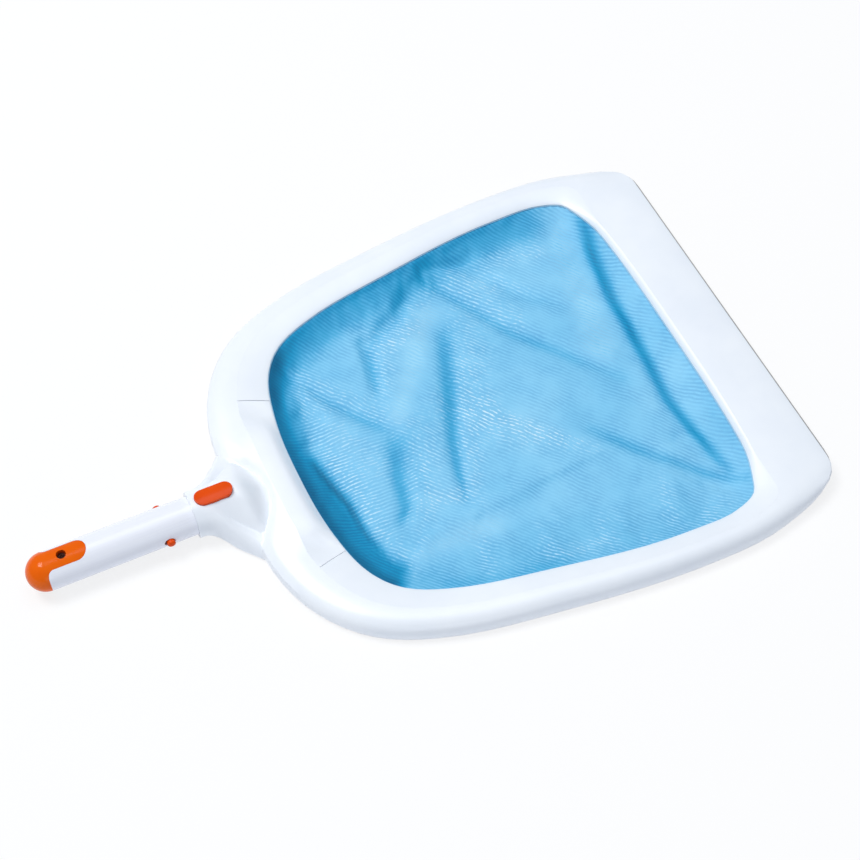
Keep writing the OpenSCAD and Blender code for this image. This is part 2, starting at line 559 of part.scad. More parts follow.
// Button: crowned top, flange, cam plate with its two slanted slots, spring stub
module release_button() color(latch_orange) difference() {
    union() {
        difference() {
            intersection() {
                translate([button_x, 0, flange_z]) oblong(button_l, button_w, collar_r);
                along_x(collar_x, ring_x, collar_r + button_proud);
            }
            translate([button_x, 0, flange_z - 1])
                oblong(button_l - 2 * button_wall, button_w - 2 * button_wall, button_roof - flange_z + 1);
        }
        difference() {
            translate([button_x, 0, flange_z]) oblong(button_l + 2 * flange, button_w + 2 * flange, flange_t);
            translate([button_x, 0, flange_z - 1])
                oblong(button_l - 2 * button_wall, button_w - 2 * button_wall, flange_t + 2);
        }
        translate([cam_x - cam_plate_t / 2, -cam_half_w, cam_bottom])
            cube([cam_plate_t, 2 * cam_half_w, cam_shoulder - cam_bottom]);
        translate([cam_x - cam_plate_t / 2, gap - slot_w / 2, cam_bottom])
            cube([cam_plate_t, slot_w - 2 * gap, flange_z + 0.5 - cam_bottom]);
        translate([cam_x - cam_plate_t / 2, -button_r, flange_z])
            cube([cam_plate_t, button_w, button_roof + 0.5 - flange_z]);
        translate([spring_x, 0, button_roof - 3]) cylinder(r = spring_stub_r, h = 3.5);
    }
    for (e = [1, -1]) translate([cam_x - cam_plate_t / 2 - 1, 0, 0]) {
        for (p = [[tail_y, axis_z], [tail_y + cam_out, axis_z + button_travel]])
            translate([0, e * p[0], p[1]]) rotate([0, 90, 0]) cylinder(r = peg_r + peg_slack, h = cam_plate_t + 2);
        translate([0, e * tail_y, axis_z]) rotate([e * atan2(button_travel, cam_out) - (e < 0 ? 180 : 0), 0, 0])
            translate([0, 0, -peg_r - peg_slack])
                cube([cam_plate_t + 2, norm([cam_out, button_travel]), 2 * (peg_r + peg_slack)]);
    }
}

module button_spring() color(steel) {
    z0 = floor_z + spring_wire / 2 + clear;
    z1 = button_roof - spring_wire / 2 - clear;
    steps = 10 * spring_turns;
    sweep([for (i = [0 : steps])
        let (a = 360 * spring_turns * i / steps, f = max(0, min(1, (i - 7) / (steps - 14))))
        [for (k = [0 : 5])
            [spring_x + (spring_r + spring_wire / 2 * cos(60 * k)) * cos(a),
             (spring_r + spring_wire / 2 * cos(60 * k)) * sin(a),
             z0 + (z1 - z0) * f + spring_wire / 2 * sin(60 * k)]]]);
}

// End cap: dome, spigot, tongue along the top of the tube and cup for the screw
module end_cap() color(latch_orange) difference() {
    union() {
        translate([shank_x0, 0, axis_z]) rotate([0, -90, 0]) rotate_extrude() intersection() {
            translate([0, dome_l - dome_r]) circle(r = dome_r);
            square([cap_r, dome_l]);
        }
        along_x(shank_x0 - 2, shank_x0 + 4.5, bore_r - clear);
        intersection() {
            translate([0, 0, axis_z]) tongue_plan(0, shank_r);
            difference() {
                along_x(shank_x0 - 0.5, shank_x0 + tongue_l + 1, cap_r);
                along_x(shank_x0 - 1, shank_x0 + tongue_l + 2, cap_r - tongue_t);
            }
        }
        intersection() {
            translate([cap_screw_x, 0, recess_floor - cup_t]) cylinder(r = cup_r, h = shank_r);
            along_x(shank_x0, shank_x0 + tongue_l, cap_r);
        }
    }
    along_x(shank_x0 - 5, shank_x0 + 5, bore_r - clear - 1.8);
    translate([cap_screw_x, 0, recess_floor]) cylinder(d = recess_d, h = shank_r);
    translate([cap_screw_x, 0, axis_z]) cylinder(r = cap_screw_r + clear, h = shank_r);
}
// Plug in the tube that takes the screw of the end cap
module cap_plug() color(core_grey) difference() {
    union() {
        difference() {
            along_x(plug_x0, plug_x1, bore_r - clear);
            along_x(plug_x0 - 1, plug_x1 + 1, bore_r - clear - 2);
        }
        intersection() {
            along_x(plug_x0, plug_x1, bore_r - clear);
            translate([plug_x0, -cup_r - 1, axis_z + 1]) cube([plug_x1 - plug_x0, 2 * cup_r + 2, bore_r]);
        }
    }
    translate([cap_screw_x, 0, recess_floor - cup_t - clear]) cylinder(r = cup_r + clear, h = shank_r);
    translate([cap_screw_x, 0, 0]) cylinder(r = cap_screw_r + 0.05, h = shank_d + axis_z);
}
module end_cap_screw() color(black_steel) translate([cap_screw_x, 0, recess_floor]) difference() {
    union() {
        cylinder(r = cap_screw_head_r, h = cap_screw_head_h);
        translate([0, 0, -cap_screw_l]) cylinder(r = cap_screw_r, h = cap_screw_l + 0.5);
    }
    for (a = [0, 90]) rotate([0, 0, a]) translate([-1.7, -0.4, cap_screw_head_h - 0.9]) cube([3.4, 0.8, 1]);
}

frame_shell();
side_bezel();
rear_bezel();
bezel_screws();
net();
net_hem();
neck_cover();
cover_screws();
handle_shank();
shank_screw();
latch_carrier();
latch_arm_left();
latch_arm_right();
arm_pivots();
release_button();
button_spring();
end_cap();
cap_plug();
end_cap_screw();
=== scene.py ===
"""Leaf skimmer net: looks, materials and light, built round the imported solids."""

import math

import bmesh
import bpy
from mathutils import Matrix, Vector, noise
from mathutils.bvhtree import BVHTree
from mathutils.kdtree import KDTree


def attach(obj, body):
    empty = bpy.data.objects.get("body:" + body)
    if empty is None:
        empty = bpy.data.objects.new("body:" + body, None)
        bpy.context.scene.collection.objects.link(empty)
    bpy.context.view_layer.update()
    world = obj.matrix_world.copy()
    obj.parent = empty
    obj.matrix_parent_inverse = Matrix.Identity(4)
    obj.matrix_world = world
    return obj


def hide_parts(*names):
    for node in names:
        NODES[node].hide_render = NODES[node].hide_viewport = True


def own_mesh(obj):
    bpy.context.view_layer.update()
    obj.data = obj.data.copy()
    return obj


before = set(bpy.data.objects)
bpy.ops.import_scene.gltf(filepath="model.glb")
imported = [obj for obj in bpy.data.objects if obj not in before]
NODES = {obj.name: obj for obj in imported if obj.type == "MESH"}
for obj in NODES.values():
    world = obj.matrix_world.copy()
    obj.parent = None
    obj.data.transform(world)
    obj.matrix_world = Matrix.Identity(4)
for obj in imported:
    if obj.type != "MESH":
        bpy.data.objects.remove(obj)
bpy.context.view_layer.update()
MM = 0.001
GRAIN_HEIGHT = 0.1 * MM                            # height of the grain and of drawn or turned marks

# Sizes that the solids have too, in millimetres
MOUTH_X, NET_L, NET_W = 231.0, 306.0, 316.0      # front edge, length and width of the mesh opening
PAN_DEPTH = 8.2                                  # how far the mesh hangs below its edge
SHEET_Z = 12.2                                   # height of the mesh where the bezels hold it
MESH_HELD = 3.2                                  # width of the mesh's edge under the bezels
LIP_X = 278.5                                    # front edge of the scoop
OPENING = [                                      # half outline: share back, share out, heading
    (0, 0, 90), (0.008, 0.67, 94), (0.045, 0.92, 114), (0.096, 0.984, 162), (0.23, 1, 181),
    (0.597, 0.904, 190), (0.813, 0.807, 200), (0.933, 0.657, 233), (0.987, 0.367, 260), (1, 0, 270),
]
HALF_TURN = len(OPENING) - 1                     # stations of the half outline, front to rear
EDGE_STEPS = 720                                 # steps in which its edge is looked up

# Sizes of the looks alone, in millimetres
PAN_WALLS = {"front": 20, "rear": 25, "left": 42, "right": 76}     # widths of the slopes down to it
CLOTH_STEP = 2.6                                 # the grid that the mesh is cut from
CLOTH_FRAMES = 24                                # frames in which it sags
THREAD = 0.35                                    # thickness of the mesh
FLOOR_CLEAR = 0.9                                # how near the floor its middle may come


# ---------- Materials ----------
def linear(code, alpha=1.0):
    """An sRGB hex colour as the linear values that the shaders take."""
    parts = [int(code[i:i + 2], 16) / 255 for i in (0, 2, 4)]
    return tuple(c / 12.92 if c <= 0.04045 else ((c + 0.055) / 1.055) ** 2.4 for c in parts) + (alpha,)


def add(tree, kind, settings=None, links=None, fixed=None, **values):
    """A shader node with its settings, links and socket values: fixed by number, the rest by name."""
    item = tree.nodes.new(kind)
    for key, value in (settings or {}).items():
        setattr(item, key, value)
    for key, value in (fixed or {}).items():
        item.inputs[key].default_value = value
    for key, value in values.items():
        item.inputs[key.replace("_", " ")].default_value = value
    for key, source in (links or {}).items():
        tree.links.new(source, item.inputs[key])
    return item


def first(tree, kind):
    return next(n for n in tree.nodes if n.type == kind)


def surface(name, **values):
    """A new material with its Principled shader: (material, tree, shader)."""
    mat = bpy.data.materials.new(name)
    mat.use_nodes = True
    tree = mat.node_tree
    shader = first(tree, "BSDF_PRINCIPLED")
    for key, value in values.items():
        shader.inputs[key.replace("_", " ")].default_value = value
    return mat, tree, shader


def ramp(tree, source, stops):
    """A colour ramp over a source, from (position, colour) stops."""
    item = add(tree, "ShaderNodeValToRGB", links={"Fac": source})
    item.color_ramp.elements[0].position, item.color_ramp.elements[0].color = stops[0]
    item.color_ramp.elements[1].position, item.color_ramp.elements[1].color = stops[-1]
    for place, colour in stops[1:-1]:
        item.color_ramp.elements.new(place).color = colour
    return item.outputs["Color"]


def moulded(name, low, high, roughness, grain=0.04, cloud=40.0, **values):
    """Injection-moulded plastic: faint clouding, cloud millimetres across, a fine spark-eroded grain
    and uneven gloss."""
    mat, tree, shader = surface(name, Roughness=roughness, IOR=1.53, **values)
    place = add(tree, "ShaderNodeTexCoord").outputs["Object"]
    clouds = add(tree, "ShaderNodeTexNoise", links={"Vector": place}, Scale=1000 / cloud, Detail=3.0,
                 Roughness=0.5)
    tree.links.new(ramp(tree, clouds.outputs["Fac"], [(0.3, linear(low)), (0.7, linear(high))]),
                   shader.inputs["Base Color"])
    gloss = add(tree, "ShaderNodeMapRange", links={"Value": clouds.outputs["Fac"]},
                To_Min=roughness - 0.05, To_Max=roughness + 0.07)
    tree.links.new(gloss.outputs["Result"], shader.inputs["Roughness"])
    # grain of the tool's surface, about 0.6 mm
    fine = add(tree, "ShaderNodeTexNoise", links={"Vector": place}, Scale=1700.0, Detail=2.0, Roughness=0.6)
    bump = add(tree, "ShaderNodeBump", links={"Height": fine.outputs["Fac"]}, Strength=grain,
               Distance=GRAIN_HEIGHT)
    tree.links.new(bump.outputs["Normal"], shader.inputs["Normal"])
    return mat


def paint_lip_shade(mat):
    """Paints shade on the last millimetre of the scoop's front edge: a grey line where its rounded edge
    turns away from the light.
    """
    tree = mat.node_tree
    shader = first(tree, "BSDF_PRINCIPLED")
    plain_colour = shader.inputs["Base Color"].links[0].from_socket
    place = add(tree, "ShaderNodeTexCoord").outputs["Object"]
    across = add(tree, "ShaderNodeSeparateXYZ", links={"Vector": place}).outputs["X"]
    lip_shade_mask = add(tree, "ShaderNodeMapRange", {"interpolation_type": "SMOOTHSTEP"}, {"Value": across},
              From_Min=(LIP_X - 1.8) * MM, From_Max=(LIP_X - 0.8) * MM)
    # painted shade: the scoop's rounded front edge turns grey here
    patchy_and_lip_shade = add(tree, "ShaderNodeMix", {"data_type": "RGBA"}, {"Factor": lip_shade_mask.outputs["Result"], 6: plain_colour},
               {7: linear("8B8986")})
    tree.links.new(patchy_and_lip_shade.outputs[2], shader.inputs["Base Color"])


# White ABS, injection moulded: even and slightly glossy, a hair cooler than neutral
WHITE = moulded("white_abs_moulding", "EBF1F9", "F1F6FC", 0.3)
FRAME_WHITE = moulded("white_abs_frame", "EBF1F9", "F1F6FC", 0.3)
# the frame's white gets painted shade along the scoop's front edge
paint_lip_shade(FRAME_WHITE)


def drawn_tube():
    """White ABS tube, extruded: fine draw lines along its length."""
    mat, tree, shader = surface("white_abs_extrusion", Roughness=0.27, IOR=1.53)
    place = add(tree, "ShaderNodeTexCoord").outputs["Object"]
    # draw lines about 1 mm apart round the tube and 60 mm long
    squeezed = add(tree, "ShaderNodeMapping", links={"Vector": place}, Scale=(17.0, 1000.0, 1000.0))
    lines = add(tree, "ShaderNodeTexNoise", links={"Vector": squeezed.outputs["Vector"]}, Scale=1.0,
                Detail=3.0)
    tree.links.new(ramp(tree, lines.outputs["Fac"], [(0.3, linear("EAEDF7")), (0.7, linear("EEF1F9"))]),
                   shader.inputs["Base Color"])
    bump = add(tree, "ShaderNodeBump", links={"Height": lines.outputs["Fac"]}, Strength=0.02,
               Distance=GRAIN_HEIGHT)
    tree.links.new(bump.outputs["Normal"], shader.inputs["Normal"])
    return mat


TUBE = drawn_tube()
# Orange ABS, injection moulded: deeply coloured, with a satin shine
ORANGE = moulded("orange_abs_moulding", "DA4504", "E24E08", 0.24, 0.03, 16.0, Specular_IOR_Level=0.15)
# The cap's orange is a shade lighter and more yellow than the button's
CAP_ORANGE = moulded("orange_abs_cap", "E45A02", "EA6606", 0.13, 0.02, 16.0, Specular_IOR_Level=0.15)
# Acetal, natural grey: matt and waxy
ACETAL = moulded("grey_acetal", "85888E", "8F9298", 0.45, grain=0.06)


def metal(name, low, high, roughness, streak):
    """Metal with fine turning or drawing marks, streak apart in millimetres."""
    mat, tree, shader = surface(name, Metallic=1.0, Roughness=roughness)
    place = add(tree, "ShaderNodeTexCoord").outputs["Object"]
    marks = add(tree, "ShaderNodeTexNoise", links={"Vector": place}, Scale=1000 / streak, Detail=4.0)
    tree.links.new(ramp(tree, marks.outputs["Fac"], [(0.3, linear(low)), (0.7, linear(high))]),
                   shader.inputs["Base Color"])
    bump = add(tree, "ShaderNodeBump", links={"Height": marks.outputs["Fac"]}, Strength=0.1,
               Distance=GRAIN_HEIGHT)
    tree.links.new(bump.outputs["Normal"], shader.inputs["Normal"])
    return mat


STAINLESS = metal("stainless_steel", "B9BCC0", "CDD0D3", 0.3, 0.8)
BLACKED = metal("blackened_steel", "2E1B18", "3C2622", 0.45, 0.6)


def ribbing(tree, uv, rib, turns, crossing):
    """Ribs rib millimetres apart, broken into stitches. They run turns[0] degrees round from the
    handle's line, and turns[1] round a crossing (x, y, radius) where the cut was pulled."""
    wander = add(tree, "ShaderNodeTexNoise", links={"Vector": uv}, Scale=0.02, Detail=3.0,
                 Roughness=0.62)
    shift = add(tree, "ShaderNodeVectorMath", {"operation": "SCALE"},
                {"Vector": wander.outputs["Color"]}, Scale=9.0)
    bent = add(tree, "ShaderNodeVectorMath", {"operation": "ADD"},
               {0: uv, 1: shift.outputs["Vector"]}).outputs["Vector"]
    weaves = []
    for turn in turns:
        turned = add(tree, "ShaderNodeMapping", {"vector_type": "TEXTURE"}, {"Vector": bent},
                     Rotation=(0, 0, math.radians(turn))).outputs["Vector"]
        ribs = add(tree, "ShaderNodeTexWave", {"bands_direction": "Y"}, {"Vector": turned},
                   Scale=math.pi / 10 / rib)
        # stitches along the ribs
        long = add(tree, "ShaderNodeMapping", links={"Vector": turned}, Scale=(0.9 / rib, 1.4 / rib, 1))
        stitches = add(tree, "ShaderNodeTexNoise", links={"Vector": long.outputs["Vector"]}, Scale=1.0,
                       Detail=2.0)
        weaves.append(add(tree, "ShaderNodeMath", {"operation": "MULTIPLY"},
                          {0: ribs.outputs["Fac"], 1: stitches.outputs["Fac"]}).outputs["Value"])
    x, y, radius = crossing
    blend = 8
    away = add(tree, "ShaderNodeVectorMath", {"operation": "DISTANCE"}, {0: bent}, {1: (x, y, 0)})
    choice = add(tree, "ShaderNodeMapRange", {"interpolation_type": "SMOOTHSTEP"},
                 {"Value": away.outputs["Value"]}, From_Min=radius + blend, From_Max=radius - blend)
    return add(tree, "ShaderNodeMix", {"data_type": "FLOAT"},
               {"Factor": choice.outputs["Result"], 2: weaves[0], 3: weaves[1]}).outputs[0]


def openness_and_painted_light(tree, uv, weave):
    """How open and how lit the threads are, as one value: lowest where they close up in folds and where
    shade is painted on the mesh, and cloudy. Where it is half in painted shade, the ribs that stand out are
    painted in light."""
    gathered_and_shaded = add(tree, "ShaderNodeAttribute", {"attribute_name": "gathered_and_shaded"}).outputs["Fac"]
    cloud = add(tree, "ShaderNodeTexNoise", links={"Vector": uv}, Scale=0.014, Detail=2.0).outputs["Fac"]
    turning = add(tree, "ShaderNodeFloatCurve", links={"Value": gathered_and_shaded}).outputs["Value"]
    curve = turning.node.mapping.curves[0]
    curve.points[0].location, curve.points[1].location = (0, 0), (1, 0)
    curve.points.new(0.3, 0.3)
    curve.points.new(0.7, 0.12)
    turning.node.mapping.update()
    # ribs standing out in painted light where the mesh is half in painted shade
    lit_ribs = add(tree, "ShaderNodeMath", {"operation": "MULTIPLY"},
                 {0: turning, 1: weave}).outputs["Value"]
    closed_and_shaded = add(tree, "ShaderNodeMath", {"operation": "SUBTRACT"},
                 {0: gathered_and_shaded, 1: lit_ribs}).outputs["Value"]
    open_and_lit = add(tree, "ShaderNodeMapRange", {"clamp": False}, {"Value": closed_and_shaded},
                 To_Min=0.53, To_Max=-0.14).outputs["Result"]
    return add(tree, "ShaderNodeMath", {"operation": "MULTIPLY_ADD"}, {0: cloud, 2: open_and_lit},
               {1: 0.32}).outputs["Value"]


def knitted(name, dyes_and_shades, shine, rib, turns, crossing, roughness):
    """Knitted polyester mesh. Its threads are finer than a render shows, so only its ribs are drawn. Its
    colour stops go from threads closed up and in painted shade to open threads in painted light; painted
    glints lie on its ribs where the light would catch them."""
    mat, tree, shader = surface(name, Roughness=roughness, IOR=1.5, Sheen_Weight=0.06,
                                Sheen_Roughness=0.4, Specular_IOR_Level=0.3)
    uv = add(tree, "ShaderNodeUVMap", {"uv_map": "cut"}).outputs["UV"]
    weave = ribbing(tree, uv, rib, turns, crossing)
    dyed = ramp(tree, openness_and_painted_light(tree, uv, weave), [(place, linear(code)) for place, code in dyes_and_shades])
    # the hollows between the ribs are a shade deeper, in some places more than in others
    hollow = add(tree, "ShaderNodeMapRange", links={"Value": weave}, From_Max=0.5, To_Min=0.3, To_Max=0.0)
    patchy = add(tree, "ShaderNodeTexNoise", links={"Vector": uv}, Scale=0.05, Detail=2.0)
    patchy_and_lip_shade = add(tree, "ShaderNodeMapRange", links={"Value": patchy.outputs["Fac"]}, From_Min=0.35,
               From_Max=0.65, To_Min=0.3, To_Max=1.1)
    depth = add(tree, "ShaderNodeMath", {"operation": "MULTIPLY"},
                {0: hollow.outputs["Result"], 1: patchy_and_lip_shade.outputs["Result"]})
    ribbed = add(tree, "ShaderNodeMix", {"data_type": "RGBA", "blend_type": "MULTIPLY"},
                 {"Factor": depth.outputs["Value"], 6: dyed}, {7: linear(dyes_and_shades[1][1])})
    # painted glints, broken along the ribs
    raised = add(tree, "ShaderNodeAttribute", {"attribute_name": "raised"}).outputs["Fac"]
    peak = add(tree, "ShaderNodeMapRange", {"interpolation_type": "SMOOTHSTEP"}, {"Value": weave},
               From_Min=0.34, From_Max=0.62)
    glint = add(tree, "ShaderNodeMath", {"operation": "MULTIPLY"}, {0: peak.outputs["Result"], 1: raised})
    lit = add(tree, "ShaderNodeMix", {"data_type": "RGBA"},
              {"Factor": glint.outputs["Value"], 6: ribbed.outputs[2]}, {7: linear(shine)})
    tree.links.new(lit.outputs[2], shader.inputs["Base Color"])
    bump = add(tree, "ShaderNodeBump", links={"Height": weave}, Strength=0.25, Distance=0.0004)
    tree.links.new(bump.outputs["Normal"], shader.inputs["Normal"])
    return mat


# colour stops run from threads closed up and in painted shade to open threads in painted light; the next
# colour is the painted glint's
MESH = knitted("polyester_mesh", ((0.0, "036A93"), (0.2, "1096C6"), (0.42, "4CAFDC"), (0.7, "84CBEF"),
                                  (0.95, "A3DCF6")), "D6EEFA", rib=2.8, turns=(-52, -2),
               crossing=(-48, -8, 62), roughness=0.6)
TAPE = knitted("polyester_tape", ((0.0, "86BEDD"), (0.5, "9CCBE6"), (1.0, "B2D9EE")), "CFE6F3", rib=1.2,
               turns=(45, -45), crossing=(0, 0, 90), roughness=0.7)


# ---------- Helpers for pieces ----------
def finish_piece(obj, material, slot, body, *nodes):
    """Gives a piece its material and its body, and hides the CAD nodes that it stands for. Slot is not
    used.
    """
    obj.data.materials.clear()
    obj.data.materials.append(material)
    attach(obj, body)
    if nodes:
        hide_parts(*nodes)
    return obj


def piece_from(bm, name):
    """A scene object from a bmesh, which is freed."""
    mesh = bpy.data.meshes.new(name)
    bm.to_mesh(mesh)
    bm.free()
    obj = bpy.data.objects.new(name, mesh)
    bpy.context.scene.collection.objects.link(obj)
    return obj


def smooth_copy(node, name, material, slot, body, angle=32, merge=2e-5, rounding=0):
    """The solid of a CAD node with its triangles joined, smooth but for its sharp edges. Rounding
    is the radius of its moulded edges in millimetres."""
    bm = bmesh.new()
    bm.from_mesh(NODES[node].data)
    bmesh.ops.remove_doubles(bm, verts=bm.verts, dist=merge)
    bmesh.ops.dissolve_degenerate(bm, edges=bm.edges, dist=1e-6)
    for f in bm.faces:
        f.smooth = True
    for e in bm.edges:
        e.smooth = len(e.link_faces) == 2 and e.calc_face_angle(0) < math.radians(angle)
    if rounding:
        bmesh.ops.dissolve_limit(bm, angle_limit=math.radians(1), verts=bm.verts, edges=bm.edges)
    obj = piece_from(bm, name)
    if rounding:
        edge = obj.modifiers.new("moulded_edges", "BEVEL")
        edge.width, edge.segments, edge.angle_limit = rounding * MM, 3, math.radians(angle)
        edge.harden_normals = False
    weigh = obj.modifiers.new("even_normals", "WEIGHTED_NORMAL")
    weigh.keep_sharp = True
    return finish_piece(obj, material, slot, body, node)


def close_seam(ring, seat, gap=0.25, left=0.02):
    """Moves the top edge of a ring out to the edge of its seat where that is within gap
    millimetres, so that the joint is a fine one."""
    tree = BVHTree.FromObject(seat, bpy.context.evaluated_depsgraph_get())
    top = {i for poly in ring.data.polygons if poly.normal.z > 0.5 for i in poly.vertices}
    for i in top:
        v = ring.data.vertices[i]
        place, _, _, away = tree.find_nearest(v.co, gap * MM)
        if place is not None and away > left * MM:
            v.co += (place - v.co) * (1 - left * MM / away)


def hollow_ends(ring, depth=2.3):
    """Sinks the slope of the rear bezel where its higher middle runs out, next to each joint."""
    hollow_y, breadth = 62, 7
    for v in ring.data.vertices:
        x, y, z = v.co / MM
        inside = -outside_by(x, y)[0]
        across = smooth(-1.5, -6, inside) * smooth(-24, -15, inside) * smooth(14.5, 16, z)
        v.co.z -= depth * MM * across * math.exp(-((abs(y) - hollow_y) / breadth) ** 2)


# ---------- Mesh pan ----------
def opening_at(t):
    """Point of the mesh opening's edge in millimetres; t runs 0 to HALF_TURN from the front to the
    rear. The edge is a Bezier curve from station to station."""
    i = min(int(t), HALF_TURN - 1)
    ends = []
    for back, out, heading in (OPENING[i], OPENING[i + 1]):
        ends.append((Vector((MOUTH_X - back * NET_L, out * NET_W / 2)), math.radians(heading)))
    (p, a), (q, b) = ends
    reach = (q - p).length * 0.36
    c = p + reach * Vector((math.cos(a), math.sin(a)))
    d = q - reach * Vector((math.cos(b), math.sin(b)))
    u, s = t - i, 1 - (t - i)
    return s ** 3 * p + 3 * s * s * u * c + 3 * s * u * u * d + u ** 3 * q


EDGE = [opening_at(HALF_TURN * i / EDGE_STEPS) for i in range(EDGE_STEPS + 1)]
EDGE_TREE = KDTree(len(EDGE))
for i, point in enumerate(EDGE):
    EDGE_TREE.insert((point.x, point.y, 0), i)
EDGE_TREE.balance()


def outside_by(x, y):
    """How far a point is outside the opening's edge in millimetres, negative inside, and the
    point of the edge that is nearest to it."""
    near, i, away = EDGE_TREE.find((x, abs(y), 0))
    along = EDGE[min(i + 1, EDGE_STEPS)] - EDGE[max(i - 1, 0)]
    side = along.cross(Vector((x, abs(y))) - EDGE[i])
    return (-away if side > 0 else away), Vector((near.x, math.copysign(near.y, y)))


# Main folds: line (share back, share out), half breadth at either end and height in millimetres, and how
# far the threads are gathered in it and shade is painted in it, from 0 to 1; beside the deeper folds a
# painted glint lies on the side away from the handle
FOLDS = [
    ([(0.02, 0.86), (0.043, 0.673), (0.065, 0.398), (0.079, -0.065), (0.09, -0.288), (0.08, -0.5),
      (0.06, -0.76)], 8.5, 6, -1.7, 0.85),
    ([(0.3, -0.3), (0.2, -0.544), (0.118, -0.715), (0.04, -0.85)], 9, 6, -1.7, 0.45),
    ([(0.45, 0.9), (0.45, 0.761), (0.391, 0.544), (0.346, 0.381), (0.263, 0.173), (0.16, -0.08)],
     6, 8, -2.6, 0.35),
    ([(0.43, 0.9), (0.36, 0.83), (0.27, 0.56), (0.18, 0.41)], 6, 9, -2.0, 0.15),
    ([(0.5, 0.84), (0.584, 0.69), (0.643, 0.649), (0.693, 0.595)], 6, 10, -1.9, 0.3),
    ([(0.693, 0.6), (0.705, 0.473), (0.73, 0.32)], 7, 5, -2.8, 0.45),
    ([(0.9, 0.58), (0.841, 0.36), (0.793, 0.226), (0.741, 0.09)], 4, 8, -2.2, 0.35),
    ([(0.503, 0.5), (0.544, 0.295), (0.619, -0.08), (0.64, -0.208), (0.66, -0.39)], 12, 4, -1.9, 0.6),
    ([(0.75, 0.02), (0.78, -0.15), (0.798, -0.311), (0.83, -0.38)], 12, 5, -1.6, 0.6),
    ([(0.89, -0.6), (0.75, -0.49), (0.45, -0.43), (0.28, -0.41)], 10, 14, 1.4, 0.0),
    ([(0.955, 0.15), (0.947, 0.051), (0.93, -0.1), (0.918, -0.19), (0.915, -0.356), (0.885, -0.6)],
     9, 5, -1.6, 1.0),
    ([(0.925, 0.68), (0.91, 0.6), (0.905, 0.53)], 3, 4, -2.0, 0.8),
    ([(0.473, 1.0), (0.475, 0.88), (0.485, 0.79)], 4, 3, -2.0, 0.8),
    ([(0.46, 0.9), (0.396, 0.867), (0.326, 0.861)], 3, 4, -1.6, 0.6),
]

# Painted light and shade on the mesh's facets: line, half breadth at either end, and how much painted light
# lies there (painted shadow where negative) and how far painted glints lie on its ribs, from 0 to 1
PATCHES = [
    ([(0.507, 0.662), (0.615, 0.393), (0.709, 0.156)], 11, 8, 0.45, 0.1),
    ([(0.1, 0.84), (0.134, 0.393), (0.17, 0.103)], 12, 15, 0.4, 0.2),
    ([(0.904, 0.44), (0.867, 0.193), (0.829, -0.044)], 14, 16, 0.1, 0.45),
    ([(0.885, -0.64), (0.798, -0.571), (0.643, -0.567)], 5, 12, 0.35, 0.2),
    ([(0.668, 0.539), (0.568, 0.595)], 8, 9, 0.1, 0.8),
    ([(0.55, 0.06), (0.432, -0.156), (0.319, -0.339)], 20, 9, 0.1, 1.0),
    ([(0.781, -0.308), (0.717, -0.342), (0.644, -0.361)], 5, 6, 0.1, 0.8),
    ([(0.559, -0.84), (0.43, -0.87)], 3, 3, 0.1, 0.9),
    ([(0.425, 0.865), (0.369, 0.744), (0.33, 0.653)], 4, 6, 0.1, 0.6),
    ([(0.268, 0.808), (0.162, 0.77)], 7, 9, 0.15, 0.5),
    ([(0.735, 0.0), (0.742, -0.14), (0.735, -0.22)], 10, 8, -0.22, 0.0),
    ([(0.457, 0.925), (0.326, 0.93), (0.191, 0.9), (0.117, 0.9)], 7, 7, -0.14, 0.0),
    ([(0.8, -0.78), (0.642, -0.883), (0.547, -0.9)], 6, 9, -0.28, 0.0),
]


def smooth(a, b, x):
    """Rises smoothly from 0 at a to 1 at b, which may be below a."""
    s = max(0.0, min(1.0, (x - a) / (b - a)))
    return s * s * (3 - 2 * s)


def laid_out(rows):
    """Rows of lines with their points in millimetres in place of shares."""
    return [([Vector((MOUTH_X - back * NET_L, out * NET_W / 2)) for back, out in line], *values)
            for line, *values in rows]


FOLD_LINES, PATCH_LINES = laid_out(FOLDS), laid_out(PATCHES)


def nearest(line, place):
    """The offset of a place from a line, and how far along the line its nearest point is."""
    best = (1e9, Vector((0, 0)), 0.0)
    for k, (a, b) in enumerate(zip(line, line[1:])):
        along = max(0.0, min(1.0, (place - a).dot(b - a) / (b - a).length_squared))
        offset = place - a - along * (b - a)
        if offset.length < best[0]:
            best = (offset.length, offset, (k + along) / (len(line) - 1))
    return best


def patches_at(place):
    """How much painted light lies on the mesh at a place (painted shadow where negative), and how much
    painted glint lies on its ribs.
    """
    painted_paleness, shine = 0.0, 0.0
    for line, start, end, pale, lit in PATCH_LINES:
        away, _, share = nearest(line, place)
        near = math.exp(-(away / (start + (end - start) * share)) ** 2)
        painted_paleness += pale * near
        shine = max(shine, lit * near)
    return painted_paleness, shine


